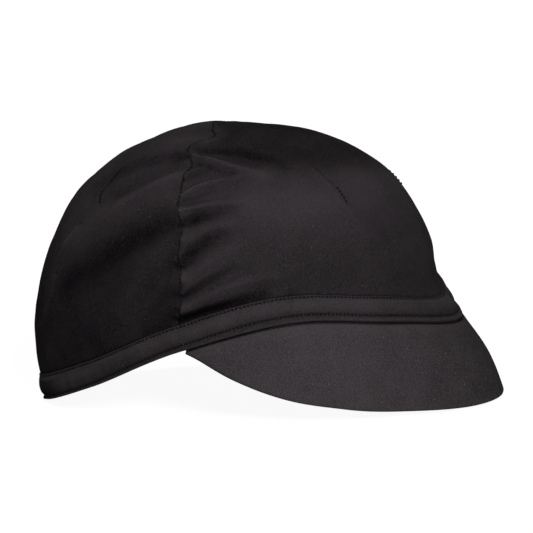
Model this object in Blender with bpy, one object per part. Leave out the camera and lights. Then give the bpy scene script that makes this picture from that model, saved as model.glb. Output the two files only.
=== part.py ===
"""A soft cycling cap: two crown panels, a two-part hem band and a short visor.

Metres, +Z up. The front of the cap faces -Y, and the cap rests on the plane z = 0, on the
edge of its visor and on the back of its hem, as it does when it is put down on a table.
Angles run round the cap from the middle of the front (0) to the middle of the back (180).
They are positive on the wearer's right (-X).
"""

import math

import bpy
import bmesh
import numpy as np

# Driving sizes
HEM_LENGTH = 0.2000        # front to back, outside the band
HEM_WIDTH = 0.1615         # side to side, outside the band
CROWN_HEIGHT = 0.1290      # pole of the crown above the back of the hem
HEM_RISE = 0.0515          # highest point of the hem edge above the back of the hem
POLE_LEAN = 0.0190         # the pole lies this far behind the middle of the hem
PROW = 0.0030              # the visor draws the middle of the front hem forward
CROWN_WALL = 0.0012
BAND_WALL = 0.0020
BAND_HEIGHT = 0.0120
BAND_PUFF = 0.0008         # the folded band swells between its stitch rows
GATHER_DEPTH = 0.0006      # ripples of the band at the back
GATHER_PITCH = 0.0100
VISOR_WALL = 0.0022
VISOR_DEPTH = 0.0440       # greatest depth, along the visor's surface
FOLD_DEPTH = 0.0030        # unit of the fold table's depths
FOLD_WIDTH = 0.0090        # unit of the fold table's widths
STITCH_HOLD = 0.0080       # a fold fades out over this distance from a sewn edge
PIECE_GAP = 0.0004         # between sewn pieces
REST_FLAT = 0.0006         # cloth this close to the table lies flat on it

# Angles, in degrees
SEAM_ANGLE = 90.0
VISOR_END_ANGLE = 89.0
GATHER_END_ANGLE = 128.0   # the gathers fade out towards this angle
GATHER_FADE_ANGLE = 10.0


def table(columns, *rows):
    """Columns of a table by their names. Each row is a section or a place round the cap."""
    return dict(zip(columns.split(), np.array(rows, dtype=float).T))


# Height of the hem edge round the cap, as a share of HEM_RISE
HEM_EDGE = table(
    "angle height",
    (0.0, 0.83),
    (30.0, 0.965),
    (60.0, 1.0),
    (90.0, 0.73),
    (120.0, 0.31),
    (150.0, 0.045),
    (180.0, 0.0),
)

# Sections of the crown from its hem (way 0) to its pole (way 1). The reaches are shares of
# half the hem's length or width, the rises are shares of the height from hem to pole, and
# the lean is a share of POLE_LEAN.
CROWN = table(
    "way lean front_reach front_rise side_reach side_rise rear_reach rear_rise",
    (0.0, -0.25, 0.975, 0.000, 1.000, 0.000, 1.002, 0.000),
    (0.1, -0.20, 0.875, 0.175, 1.015, 0.150, 1.029, 0.130),
    (0.2, -0.12, 0.835, 0.350, 0.995, 0.300, 1.035, 0.260),
    (0.3, -0.04, 0.785, 0.525, 0.945, 0.440, 0.998, 0.395),
    (0.4, 0.07, 0.713, 0.690, 0.865, 0.580, 0.939, 0.520),
    (0.5, 0.26, 0.625, 0.820, 0.770, 0.700, 0.839, 0.645),
    (0.6, 0.42, 0.525, 0.915, 0.640, 0.800, 0.719, 0.750),
    (0.7, 0.57, 0.396, 0.975, 0.490, 0.885, 0.569, 0.840),
    (0.8, 0.71, 0.262, 1.005, 0.340, 0.950, 0.401, 0.910),
    (0.9, 0.86, 0.128, 1.010, 0.170, 0.985, 0.218, 0.965),
    (1.0, 1.00, 0.000, 1.000, 0.000, 1.000, 0.000, 1.000),
)

# Forward shift of the front hem, as a share of PROW. It fades out up the crown.
PROW_SHAPE = table(
    "angle shift",
    (0.0, 1.0),
    (15.0, 0.4),
    (30.0, -0.75),
    (45.0, -1.0),
    (60.0, -0.5),
    (90.0, 0.0),
    (180.0, 0.0),
)
PROW_TOP_WAY = 0.2
LOW_WAY = 0.05             # a way within the band, where the crown's wall is nearly upright

# Depth of the visor along its surface, as a share of VISOR_DEPTH, and the slope of its
# surface below the horizontal at its root and at its outer edge, in degrees
VISOR = table(
    "angle depth root_slope edge_slope",
    (0.0, 0.83, 46.0, 80.0),
    (15.0, 0.86, 52.0, 80.0),
    (30.0, 0.89, 66.0, 82.0),
    (45.0, 0.87, 72.0, 82.0),
    (60.0, 0.77, 70.0, 82.0),
    (75.0, 0.48, 64.0, 80.0),
    (89.0, 0.08, 62.0, 80.0),
)

# Folds of the crown, from one point to another. Each point is an angle in degrees and a
# way from hem to pole. Widths and depths are shares of FOLD_WIDTH and FOLD_DEPTH, and a
# negative depth is a ridge.
FOLDS = table(
    "start_angle start_way end_angle end_way width depth",
    (72.0, 0.73, 45.0, 0.62, 0.9, 0.7),
    (86.0, 0.67, 52.0, 0.56, 0.7, -0.5),
    (89.0, 0.57, 68.0, 0.59, 0.7, 0.5),
    (86.0, 0.48, 36.0, 0.40, 1.6, -0.5),
    (89.0, 0.43, 72.0, 0.45, 0.9, 0.9),
    (89.0, 0.27, 72.0, 0.36, 0.9, 0.9),
    (89.0, 0.15, 62.0, 0.14, 0.8, 0.9),
    (91.0, 0.70, 118.0, 0.55, 0.9, 0.9),
    (91.0, 0.57, 142.0, 0.31, 1.1, -0.7),
    (91.0, 0.45, 131.0, 0.31, 1.6, 1.1),
    (94.0, 0.36, 106.0, 0.16, 1.0, -0.5),
    (91.0, 0.23, 106.0, 0.13, 0.9, 0.7),
    (2.0, 0.78, -14.0, 0.70, 0.8, 0.6),
    (-88.0, 0.66, -50.0, 0.60, 1.0, 0.8),
    (-88.0, 0.44, -62.0, 0.47, 1.0, 0.8),
    (-88.0, 0.24, -66.0, 0.32, 0.9, 0.7),
    (-92.0, 0.60, -128.0, 0.44, 1.2, 0.9),
    (-92.0, 0.34, -126.0, 0.20, 1.3, 0.9),
)

# Mesh density, in faces along each direction
PANEL_COLUMNS = 44
PANEL_ROWS = 17
BAND_FRONT_COLUMNS = 44
BAND_REAR_COLUMNS = 90
BAND_ROWS = 4
VISOR_COLUMNS = 40
VISOR_ROWS = 6
FOLD_RUNS = 8              # straight runs that stand for a fold's line
SEAM_RUNS = 11
HEM_RUNS = 48
SHARP_ANGLE = 50.0         # edges sharper than this, in degrees, aren't shaded smooth

# Black cotton, dull all over
CLOTH_COLOUR = (0.022, 0.019, 0.021, 1.0)
CLOTH_ROUGHNESS = 0.9


def read_table(rows, key, column, at):
    """Values of a table's column at the given places, on a smooth curve through its rows.

    The cap is mirrored at the middle of its front and back, so curves are level there.
    """
    places = rows[key]
    values = rows[column]
    slopes = np.gradient(values, places)
    if key == "angle":
        slopes[(places == 0.0) | (places == 180.0)] = 0.0
    at = np.clip(np.asarray(at, dtype=float), places[0], places[-1])
    row = np.clip(np.searchsorted(places, at, side="right") - 1, 0, len(places) - 2)
    step = places[row + 1] - places[row]
    share = (at - places[row]) / step
    return ((2 * share**3 - 3 * share**2 + 1) * values[row]
            + (share**3 - 2 * share**2 + share) * step * slopes[row]
            + (3 * share**2 - 2 * share**3) * values[row + 1]
            + (share**3 - share**2) * step * slopes[row + 1])


def smooth_step(share):
    share = np.clip(share, 0.0, 1.0)
    return share * share * (3 - 2 * share)


def from_front(angle):
    """Angle from the middle of the front, the shorter way round on either side."""
    return np.abs((angle + 180.0) % 360.0 - 180.0)


def hem_height(angle):
    """Height of the hem edge above its lowest point at the back."""
    return HEM_RISE * read_table(HEM_EDGE, "angle", "height", from_front(angle))


def crown_base(angle, way):
    """Points of the crown's outer surface without its folds."""
    angle, way = np.broadcast_arrays(angle, way)
    across = np.sin(np.radians(angle))
    ahead = np.cos(np.radians(angle))
    in_front = ahead > 0
    reach = np.where(in_front, read_table(CROWN, "way", "front_reach", way),
                     read_table(CROWN, "way", "rear_reach", way))
    rise = np.where(in_front, read_table(CROWN, "way", "front_rise", way),
                    read_table(CROWN, "way", "rear_rise", way))
    side_rise = read_table(CROWN, "way", "side_rise", way)
    hem = hem_height(angle)
    x = -0.5 * HEM_WIDTH * read_table(CROWN, "way", "side_reach", way) * across
    y = POLE_LEAN * read_table(CROWN, "way", "lean", way) - 0.5 * HEM_LENGTH * reach * ahead
    y = y - (PROW * smooth_step(1.0 - way / PROW_TOP_WAY)
             * read_table(PROW_SHAPE, "angle", "shift", from_front(angle)))
    z = hem + (CROWN_HEIGHT - hem) * (rise * ahead**2 + side_rise * across**2)
    return np.stack((x, y, z), axis=-1)


def crown_normal(angle, way):
    """Outward direction of the crown's outer surface."""
    near_pole = 0.99
    step_way = 0.005
    step_angle = 0.5
    way = np.minimum(way, near_pole)
    up = crown_base(angle, way + step_way) - crown_base(angle, way - step_way)
    round_cap = crown_base(angle + step_angle, way) - crown_base(angle - step_angle, way)
    normal = np.cross(up, round_cap)
    return normal / np.linalg.norm(normal, axis=-1, keepdims=True)


def distance_to_path(points, path):
    """Distance from each point to a path of straight runs."""
    nearest = np.full(points.shape[:-1], np.inf)
    for start, end in zip(path[:-1], path[1:]):
        run = end - start
        share = np.clip((points - start) @ run / (run @ run), 0.0, 1.0)
        foot = start + share[..., None] * run
        nearest = np.minimum(nearest, np.linalg.norm(points - foot, axis=-1))
    return nearest


def fold_lift(points):
    """How far the folds move each point of the crown outward."""
    lift = np.zeros(points.shape[:-1])
    for fold in zip(*FOLDS.values()):
        start_angle, start_way, end_angle, end_way, width, depth = fold
        share = np.linspace(0.0, 1.0, FOLD_RUNS + 1)
        path = crown_base(start_angle + share * (end_angle - start_angle),
                          start_way + share * (end_way - start_way))
        across = distance_to_path(points, path) / (width * FOLD_WIDTH)
        lift -= depth * FOLD_DEPTH * np.exp(-2.0 * across**2)
    return lift


def stitch_hold(points):
    """Share of a fold that is left near the crown's seam and its band, which hold it flat."""
    ways = np.linspace(0.0, 1.0, SEAM_RUNS + 1)
    round_cap = np.linspace(-180.0, 180.0, HEM_RUNS + 1)
    seam = np.concatenate((crown_base(SEAM_ANGLE, ways), crown_base(-SEAM_ANGLE, ways[-2::-1])))
    band_top = crown_base(round_cap, way_up(round_cap, BAND_HEIGHT))
    return (smooth_step(distance_to_path(points, seam) / STITCH_HOLD)
            * smooth_step(distance_to_path(points, band_top) / STITCH_HOLD))


def crown_surface(angle, way):
    """Points of the crown's outer surface with its folds."""
    points = crown_base(angle, way)
    lift = fold_lift(points) * stitch_hold(points)
    return points + lift[..., None] * crown_normal(angle, way)


def way_up(angle, distance):
    """Way at which the crown's surface lies the given distance above the hem edge."""
    places = np.linspace(0.0, 1.0, 101)
    ways = []
    for one_angle in np.atleast_1d(angle):
        runs = np.linalg.norm(np.diff(crown_base(one_angle, places), axis=0), axis=1)
        ways.append(np.interp(distance, np.concatenate(([0.0], np.cumsum(runs))), places))
    return np.array(ways)


def walled(outer, normal, wall):
    """The outer and the inner rows of points of a sheet of the given thickness."""
    return outer, outer - wall * normal


def panel_rows(first_angle, last_angle, side):
    """Rows of a crown panel, from the band to the pole, moved half a gap off the seam."""
    angles = np.linspace(first_angle, last_angle, PANEL_COLUMNS + 1)
    lowest = way_up(angles, BAND_HEIGHT + PIECE_GAP)
    shares = np.linspace(0.0, 1.0, PANEL_ROWS + 1)[:, None]
    ways = lowest + shares * (1.0 - lowest)
    outer = crown_surface(angles, ways) + off_seam(side)
    normal = crown_normal(angles, ways)
    normal[-1] = normal[-1].mean(axis=0)
    outer[-1] = outer[-1].mean(axis=0)
    return walled(outer, normal, CROWN_WALL)


def off_seam(side):
    """Half the gap between the front pieces (side -1) and the rear ones (side 1)."""
    return np.array((0.0, 0.5 * side * PIECE_GAP, 0.0))


def band_rows(first_angle, last_angle, columns, side):
    """Rows of a stretch of the hem band, from its lower edge to its upper one."""
    angles = np.linspace(first_angle, last_angle, columns + 1)
    shares = np.linspace(0.0, 1.0, BAND_ROWS + 1)[:, None]
    ways = np.array([way_up(angles, share * BAND_HEIGHT) for share in shares[:, 0]])
    gathered = smooth_step((from_front(angles) - GATHER_END_ANGLE) / GATHER_FADE_ANGLE)
    round_cap = np.radians(angles) * 0.25 * (HEM_LENGTH + HEM_WIDTH)
    ripple = GATHER_DEPTH * gathered * np.cos(round_cap * 2 * math.pi / GATHER_PITCH)
    lift = (BAND_PUFF + ripple) * np.sin(math.pi * shares)
    normal = crown_normal(angles, ways)
    outer = crown_base(angles, ways) + lift[..., None] * normal + off_seam(side)
    return walled(outer, normal, BAND_WALL)


def visor_rows():
    """Rows of the visor, from its outer edge to its root just under the band."""
    angles = np.linspace(-VISOR_END_ANGLE, VISOR_END_ANGLE, VISOR_COLUMNS + 1)
    size = np.abs(angles)
    depth = VISOR_DEPTH * read_table(VISOR, "angle", "depth", size)
    root_slope = read_table(VISOR, "angle", "root_slope", size)
    edge_slope = read_table(VISOR, "angle", "edge_slope", size)
    outward = crown_normal(angles, LOW_WAY)
    outward[:, 2] = 0.0
    outward /= np.linalg.norm(outward, axis=1, keepdims=True)
    hem = crown_base(angles, 0.0)
    up_band = crown_base(angles, LOW_WAY) - hem
    rows = [hem - PIECE_GAP * up_band / np.linalg.norm(up_band, axis=1, keepdims=True)]
    for row in range(VISOR_ROWS):
        slope = np.radians(root_slope + (edge_slope - root_slope) * (row + 0.5) / VISOR_ROWS)
        step = (depth / VISOR_ROWS)[:, None]
        direction = outward * np.cos(slope)[:, None]
        direction[:, 2] = -np.sin(slope)
        rows.append(rows[-1] + step * direction)
    outer = np.array(rows[::-1])
    normal = np.cross(np.gradient(outer, axis=0), np.gradient(outer, axis=1))
    normal /= np.linalg.norm(normal, axis=-1, keepdims=True)
    normal[-1] = crown_normal(angles, 0.0)
    return walled(outer, normal, VISOR_WALL)


def cloth(name):
    material = bpy.data.materials.new(name)
    material.use_nodes = True
    shader = material.node_tree.nodes["Principled BSDF"]
    shader.inputs["Base Color"].default_value = CLOTH_COLOUR
    shader.inputs["Roughness"].default_value = CLOTH_ROUGHNESS
    shader.inputs["Metallic"].default_value = 0.0
    return material


def add_grid(body, rows):
    """Vertices at the rows' points. A row that is all one point, as at a pole, gets one."""
    grid = []
    for row in rows:
        if np.ptp(row, axis=0).max() == 0.0:
            grid.append([body.verts.new(row[0])] * len(row))
        else:
            grid.append([body.verts.new(point) for point in row])
    return grid


def add_face(body, corners):
    """A face through the corners, leaving out those that are met twice."""
    corners = list(dict.fromkeys(corners))
    if len(corners) > 2:
        body.faces.new(corners)


def rim(grid):
    """The vertices along the edge of a grid, once round."""
    left = [row[0] for row in grid]
    right = [row[-1] for row in grid]
    return grid[0] + right[1:] + grid[-1][-2::-1] + left[-2:0:-1]


def make_piece(name, rows):
    """A closed cloth piece between its outer and its inner rows of points."""
    body = bmesh.new()
    outer, inner = (add_grid(body, side_rows) for side_rows in rows)
    for grid in (outer, inner):
        for lower, upper in zip(grid[:-1], grid[1:]):
            for column in range(len(lower) - 1):
                add_face(body, (lower[column], upper[column],
                                upper[column + 1], lower[column + 1]))
    outer_rim, inner_rim = rim(outer), rim(inner)
    for place in range(len(outer_rim)):
        after = (place + 1) % len(outer_rim)
        if outer_rim[place] is not outer_rim[after]:
            add_face(body, (outer_rim[place], outer_rim[after],
                            inner_rim[after], inner_rim[place]))
    bmesh.ops.recalc_face_normals(body, faces=body.faces)
    mesh = bpy.data.meshes.new(name)
    body.to_mesh(mesh)
    body.free()
    mesh.shade_smooth()
    mesh.set_sharp_from_angle(angle=math.radians(SHARP_ANGLE))
    mesh.materials.append(cloth(name + "_cloth"))
    piece = bpy.data.objects.new(name, mesh)
    bpy.context.scene.collection.objects.link(piece)
    return piece


def points_of(piece):
    points = np.empty(3 * len(piece.data.vertices))
    piece.data.vertices.foreach_get("co", points)
    return points.reshape(-1, 3)


def tipped(points, tilt):
    """Points turned about the X axis, so that the front goes down by the tilt."""
    turned = points.copy()
    turned[:, 1] = points[:, 1] * math.cos(tilt) - points[:, 2] * math.sin(tilt)
    turned[:, 2] = points[:, 1] * math.sin(tilt) + points[:, 2] * math.cos(tilt)
    return turned


def rest_tilt(front, back):
    """Tilt at which both pieces touch the same level plane."""
    low, high = math.radians(-30.0), math.radians(30.0)
    for _ in range(40):
        tilt = 0.5 * (low + high)
        if tipped(front, tilt)[:, 2].min() > tipped(back, tilt)[:, 2].min():
            low = tilt
        else:
            high = tilt
    return tilt


def lay_down(pieces):
    """Rest the cap on its visor and on the back of its hem, with its middle over the origin."""
    by_name = {piece.name: points_of(piece) for piece in pieces}
    tilt = rest_tilt(by_name["visor"], by_name["hem_band_rear"])
    laid = {name: tipped(points, tilt) for name, points in by_name.items()}
    everything = np.concatenate(list(laid.values()))
    low, high = everything.min(axis=0), everything.max(axis=0)
    origin = np.array((0.5 * (low[0] + high[0]), 0.5 * (low[1] + high[1]), low[2]))
    for piece in pieces:
        points = laid[piece.name] - origin
        points[points[:, 2] < REST_FLAT, 2] = 0.0
        piece.data.vertices.foreach_set("co", points.ravel())
        piece.data.update()
    return tilt, origin


def build_cap():
    for old in list(bpy.data.objects):
        bpy.data.objects.remove(old, do_unlink=True)
    back_angle = 360.0 - SEAM_ANGLE
    return lay_down([
        make_piece("crown_front_panel", panel_rows(-SEAM_ANGLE, SEAM_ANGLE, -1)),
        make_piece("crown_rear_panel", panel_rows(SEAM_ANGLE, back_angle, 1)),
        make_piece("hem_band_front",
                   band_rows(-SEAM_ANGLE, SEAM_ANGLE, BAND_FRONT_COLUMNS, -1)),
        make_piece("hem_band_rear", band_rows(SEAM_ANGLE, back_angle, BAND_REAR_COLUMNS, 1)),
        make_piece("visor", visor_rows()),
    ])


LAID_TILT, LAID_ORIGIN = build_cap()
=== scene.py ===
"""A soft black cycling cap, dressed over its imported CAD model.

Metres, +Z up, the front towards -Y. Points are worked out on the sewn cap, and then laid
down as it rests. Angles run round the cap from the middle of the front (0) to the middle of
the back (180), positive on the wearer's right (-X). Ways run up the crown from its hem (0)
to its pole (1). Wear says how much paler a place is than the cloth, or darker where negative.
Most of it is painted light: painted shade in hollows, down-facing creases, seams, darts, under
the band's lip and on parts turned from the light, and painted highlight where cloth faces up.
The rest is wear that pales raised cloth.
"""

import math

import bpy
import numpy as np
from mathutils import Matrix, Vector


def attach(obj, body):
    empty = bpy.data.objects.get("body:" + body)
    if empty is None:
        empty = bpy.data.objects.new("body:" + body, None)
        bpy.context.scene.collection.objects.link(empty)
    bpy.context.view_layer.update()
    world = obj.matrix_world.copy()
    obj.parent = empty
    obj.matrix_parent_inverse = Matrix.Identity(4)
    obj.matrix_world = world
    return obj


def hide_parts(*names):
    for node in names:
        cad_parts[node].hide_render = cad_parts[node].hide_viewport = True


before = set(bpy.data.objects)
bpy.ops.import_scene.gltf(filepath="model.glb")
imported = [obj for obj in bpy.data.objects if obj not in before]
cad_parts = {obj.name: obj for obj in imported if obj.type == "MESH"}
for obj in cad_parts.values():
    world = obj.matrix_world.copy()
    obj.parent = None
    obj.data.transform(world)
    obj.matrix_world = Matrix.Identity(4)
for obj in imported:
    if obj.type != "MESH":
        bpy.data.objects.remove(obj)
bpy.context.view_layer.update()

MM = 0.001
FRONT = -1
REAR = 1

# The sewn cap has the sizes and tables of the part's source, apart from its front hem, the
# middle of its visor, two folds and its tuck, which lie up to 5.6 mm from the CAD solids
HEM_LENGTH = 0.2000
HEM_WIDTH = 0.1615
HEM_RADIUS = 0.25 * (HEM_LENGTH + HEM_WIDTH)
CROWN_HEIGHT = 0.1290
HEM_RISE = 0.0515
POLE_LEAN = 0.0190
PROW = 0.0030
CROWN_WALL = 0.0012
BAND_WALL = 0.0020
BAND_HEIGHT = 0.0120
VISOR_WALL = 0.0022
VISOR_DEPTH = 0.0440
FOLD_DEPTH = 0.0030
FOLD_WIDTH = 0.0090
STITCH_HOLD = 0.0080
SEAM_ANGLE = 90.0
FOLD_RUNS = 8
SEAM_RUNS = 11
HEM_RUNS = 48

# How the sewn cap is laid down on the floor
LAID_TILT = math.radians(2.6411018)
LAID_ORIGIN = np.array((0.0, -0.01119696, 0.00434519))
REST_FLAT = 0.0006


def table(columns, *rows):
    """Columns of a table by their names. Each row is a place, a section, a fold or a crease."""
    return dict(zip(columns.split(), np.array(rows, dtype=float).T))


# Height of the hem edge round the cap, as a share of HEM_RISE
HEM_EDGE = table(
    "angle height",
    (0.0, 0.895),
    (30.0, 0.970),
    (60.0, 1.000),
    (90.0, 0.730),
    (120.0, 0.310),
    (150.0, 0.045),
    (180.0, 0.000),
)

# Sections of the crown from its hem (way 0) to its pole (way 1). The reaches are shares of
# half the hem's length or width, the rises are shares of the height from hem to pole, and
# the lean is a share of POLE_LEAN.
CROWN = table(
    "way lean front_reach front_rise side_reach side_rise rear_reach rear_rise",
    (0.0, -0.25, 0.975, 0.000, 1.000, 0.000, 1.002, 0.000),
    (0.1, -0.20, 0.875, 0.175, 1.015, 0.150, 1.029, 0.130),
    (0.2, -0.12, 0.835, 0.350, 0.995, 0.300, 1.035, 0.260),
    (0.3, -0.04, 0.785, 0.525, 0.945, 0.440, 0.998, 0.395),
    (0.4, 0.07, 0.713, 0.690, 0.865, 0.580, 0.939, 0.520),
    (0.5, 0.26, 0.625, 0.820, 0.770, 0.700, 0.839, 0.645),
    (0.6, 0.42, 0.525, 0.915, 0.640, 0.800, 0.719, 0.750),
    (0.7, 0.57, 0.396, 0.975, 0.490, 0.885, 0.569, 0.840),
    (0.8, 0.71, 0.262, 1.005, 0.340, 0.950, 0.401, 0.910),
    (0.9, 0.86, 0.128, 1.010, 0.170, 0.985, 0.218, 0.965),
    (1.0, 1.00, 0.000, 1.000, 0.000, 1.000, 0.000, 1.000),
)

# Forward shift of the front hem, as a share of PROW. It fades out up the crown.
PROW_SHAPE = table(
    "angle shift",
    (0.0, 1.00),
    (15.0, 0.40),
    (30.0, -0.75),
    (45.0, -1.00),
    (60.0, -0.50),
    (90.0, 0.00),
    (180.0, 0.00),
)
PROW_TOP_WAY = 0.2
TUCK = 0.0056  # the soft hem is tucked in on the far side of the front
TUCK_ANGLE = -21.0
TUCK_SPREAD = 16.0
TUCK_TOP_WAY = 0.23
LOW_WAY = 0.05  # a way within the band, where the crown's wall is nearly upright
NEAR_POLE = 0.99  # directions are taken no higher up the crown than this way

# Depth of the visor along its surface, as a share of VISOR_DEPTH, and the slope of its
# surface below the horizontal at its root and at its outer edge, in degrees
VISOR = table(
    "angle depth root_slope edge_slope",
    (0.0, 0.885, 46.0, 80.0),
    (15.0, 0.900, 52.0, 80.0),
    (30.0, 0.890, 66.0, 82.0),
    (45.0, 0.870, 72.0, 82.0),
    (60.0, 0.770, 70.0, 82.0),
    (75.0, 0.480, 64.0, 80.0),
    (89.0, 0.080, 62.0, 80.0),
)
VISOR_END = 89.0
TAPER_END = 89.6  # the visor's depth runs out at this angle
TAPER_SPREAD = 4.0
TAPER_POWER = 0.7
ROOT_DROP = 0.0004  # the visor's root lies this far below the hem edge

# Folds of the crown, from one point to another. Each point is an angle in degrees and a
# way from hem to pole. Widths and depths are shares of FOLD_WIDTH and FOLD_DEPTH, and a
# negative depth is a ridge.
FOLDS = table(
    "start_angle start_way end_angle end_way width depth",
    (72.0, 0.73, 45.0, 0.62, 0.9, 0.7),
    (86.0, 0.67, 52.0, 0.56, 0.7, -0.5),
    (89.0, 0.57, 68.0, 0.59, 0.7, 0.5),
    (86.0, 0.48, 36.0, 0.40, 1.6, -0.5),
    (89.0, 0.43, 72.0, 0.45, 0.9, 0.9),
    (89.0, 0.27, 72.0, 0.36, 0.9, 0.9),
    (89.0, 0.13, 64.0, 0.13, 0.7, 0.8),
    (91.0, 0.70, 118.0, 0.55, 0.9, 0.9),
    (91.0, 0.57, 142.0, 0.31, 1.1, -0.7),
    (91.0, 0.45, 131.0, 0.31, 1.6, 1.1),
    (94.0, 0.36, 106.0, 0.16, 1.0, -0.7),
    (91.0, 0.23, 106.0, 0.13, 0.9, 0.7),
    (2.0, 0.78, -14.0, 0.70, 0.8, 0.6),
    (-88.0, 0.66, -50.0, 0.60, 1.0, 0.8),
    (-88.0, 0.44, -62.0, 0.47, 1.0, 0.8),
    (-88.0, 0.24, -66.0, 0.32, 0.9, 0.7),
    (-92.0, 0.60, -128.0, 0.44, 1.2, 0.9),
    (-92.0, 0.34, -126.0, 0.20, 1.3, 0.9),
)
FOLD_SHARE = 0.6  # the folds' depth here, as the fine creases add to it

# Fine creases of the crown, each a curve through three places. Widths and depths are in
# millimetres. Where the depth is positive the cloth faces down, and else it faces up.
CREASES = table(
    "start_angle start_way mid_angle mid_way end_angle end_way width depth",
    (87.50, 0.752, 54.25, 0.682, 42.00, 0.562, 2.4, 0.80),
    (85.50, 0.711, 66.50, 0.635, 53.00, 0.534, 2.2, -1.60),
    (84.00, 0.654, 74.25, 0.622, 66.00, 0.584, 1.8, 0.80),
    (88.00, 0.524, 77.50, 0.564, 64.00, 0.565, 1.7, -1.40),
    (88.00, 0.590, 82.75, 0.614, 76.50, 0.632, 2.0, 0.90),
    (88.50, 0.489, 81.50, 0.508, 74.00, 0.518, 1.8, 0.80),
    (89.00, 0.464, 79.00, 0.471, 66.00, 0.461, 1.7, -1.40),
    (89.50, 0.420, 82.00, 0.434, 72.50, 0.442, 2.8, 1.20),
    (88.50, 0.369, 79.75, 0.392, 71.00, 0.394, 3.0, -0.80),
    (89.50, 0.285, 84.00, 0.332, 76.00, 0.366, 2.8, 1.60),
    (88.00, 0.235, 80.00, 0.285, 70.50, 0.315, 3.0, -0.60),
    (89.00, 0.178, 81.50, 0.206, 72.00, 0.232, 1.9, 1.40),
    (88.50, 0.145, 76.00, 0.168, 60.50, 0.180, 1.9, -0.80),
    (89.80, 0.110, 80.00, 0.115, 65.00, 0.117, 2.8, 2.80),
    (92.00, 0.723, 117.75, 0.677, 135.00, 0.603, 4.0, 1.10),
    (92.00, 0.625, 115.75, 0.532, 133.50, 0.429, 5.0, -1.10),
    (90.50, 0.450, 110.00, 0.375, 128.00, 0.305, 7.0, 0.65),
    (91.50, 0.252, 99.25, 0.183, 105.00, 0.116, 4.0, -0.60),
    (90.00, 0.218, 95.50, 0.159, 102.00, 0.120, 3.5, 0.40),
    (137.50, 0.328, 140.00, 0.263, 144.00, 0.199, 1.5, -1.00),
    (131.00, 0.464, 136.25, 0.424, 141.00, 0.376, 1.8, -0.90),
    (90.50, 0.132, 95.00, 0.109, 99.00, 0.094, 2.4, 0.50),
)
CREASE_RUNS = 8
CREASE_STEEPNESS = 2.4
CREASE_SEED = 7
SEAM_SLACK = 0.0022  # a crease fades out over this distance from the seam
BAND_SLACK = 0.0010  # and over this distance from the band
CREASE_HIGHLIGHT = 2.0  # painted highlight: how much paler the cloth is where a crease faces up
CREASE_SHADE = 1.5  # painted shade: how much darker it is where a crease faces down
LIFT_WEAR_AND_SHADE = 0.55  # wear and painted shade: paler by this much for each millimetre that the cloth stands out, darker where it sinks in
MID_WAY = 3  # a crease's middle way, among its six places
FAR_WAY_SHIFT = 0.02  # how the creases of the far side differ from the near ones
FAR_BEND = 0.012
FAR_DEPTH = 0.75
FAR_DEPTH_SPREAD = 0.15
FAR_REAR_ANGLE = 125.0  # past this angle they are fainter
FAR_REAR_DEPTH = 0.3

# Sideways wander of the side seams on either side, in millimetres towards the front
SEAM_WANDER = table(
    "way near far",
    (0.000, 0.0, 0.0),
    (0.100, 0.8, 0.0),
    (0.220, 1.5, 0.6),
    (0.300, 0.1, -0.5),
    (0.400, 0.4, 0.4),
    (0.470, -1.0, -0.6),
    (0.520, 0.0, 0.3),
    (0.610, 0.3, -0.8),
    (0.660, 2.3, 0.4),
    (0.700, 0.1, 1.4),
    (0.745, -1.7, 0.2),
    (0.770, -0.2, -0.6),
    (0.790, 3.6, 0.4),
    (0.810, 7.4, 1.6),
    (0.890, 5.6, 2.6),
    (1.000, 2.5, 2.5),
)
WANDER_REACH = 0.014

# Darts of the crown, mirrored on the other side, each through three places
DARTS = table(
    "start_angle start_way mid_angle mid_way end_angle end_way",
    (29.0, 0.56, 28.0, 0.47, 28.0, 0.38),
    (124.0, 0.70, 127.0, 0.61, 124.0, 0.53),
)
DART_RUNS = 12

# Heights of the band's stitch rows above the hem edge, in millimetres
LOWER_ROW = table(
    "angle height",
    (0.0, 3.4),
    (60.0, 3.4),
    (90.0, 2.6),
    (120.0, 1.7),
    (180.0, 1.6),
)
UPPER_ROW = table(
    "angle height",
    (0.0, 13.0),
    (30.0, 12.7),
    (55.0, 11.8),
    (80.0, 11.2),
    (180.0, 11.2),
)
BAND_EDGE = 0.0008  # the band's top edge lies this far above its upper row
SEAM_ROW = 0.0006  # the seam's stitches lie this far in front of its edge

STITCH_PITCH = 0.0019
STITCH_LENGTH = 0.0011
STITCH_THICKNESS = 0.00056
STITCH_SEED = 51
BAND_BOLD = 1.45  # thickness of the band's and the darts' stitches
DART_BOLD = 1.6

PANEL_COLUMNS = 132
PANEL_ROWS = 66
PANEL_OVERLAP = 1.0 * MM  # a panel reaches this far down behind the band's top edge
FINE = 3  # the outer side is this much finer than the inner one
BAND_COLUMNS = 840
VISOR_COLUMNS = 360
VISOR_STEPS = 72

# Ways at which lengths up the crown are measured
COARSE_WAYS = np.linspace(0.0, 1.0, 101)
FINE_WAYS = np.linspace(0.0, 1.0, 161)
BAND_WAYS = np.linspace(0.0, 0.25, 61)


def read_table(rows, column, at):
    """Values of a column at places in the table's first one, on a smooth curve through its rows.

    The cap is mirrored at the middle of its front and back, so curves are level there.
    """
    key = next(iter(rows))
    places = rows[key]
    values = rows[column]
    slopes = np.gradient(values, places)
    if key == "angle":
        slopes[(places == 0.0) | (places == 180.0)] = 0.0
    at = np.clip(np.asarray(at, dtype=float), places[0], places[-1])
    row = np.clip(np.searchsorted(places, at, side="right") - 1, 0, len(places) - 2)
    step = places[row + 1] - places[row]
    share = (at - places[row]) / step
    return ((2 * share**3 - 3 * share**2 + 1) * values[row]
            + (share**3 - 2 * share**2 + share) * step * slopes[row]
            + (3 * share**2 - 2 * share**3) * values[row + 1]
            + (share**3 - share**2) * step * slopes[row + 1])


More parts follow.
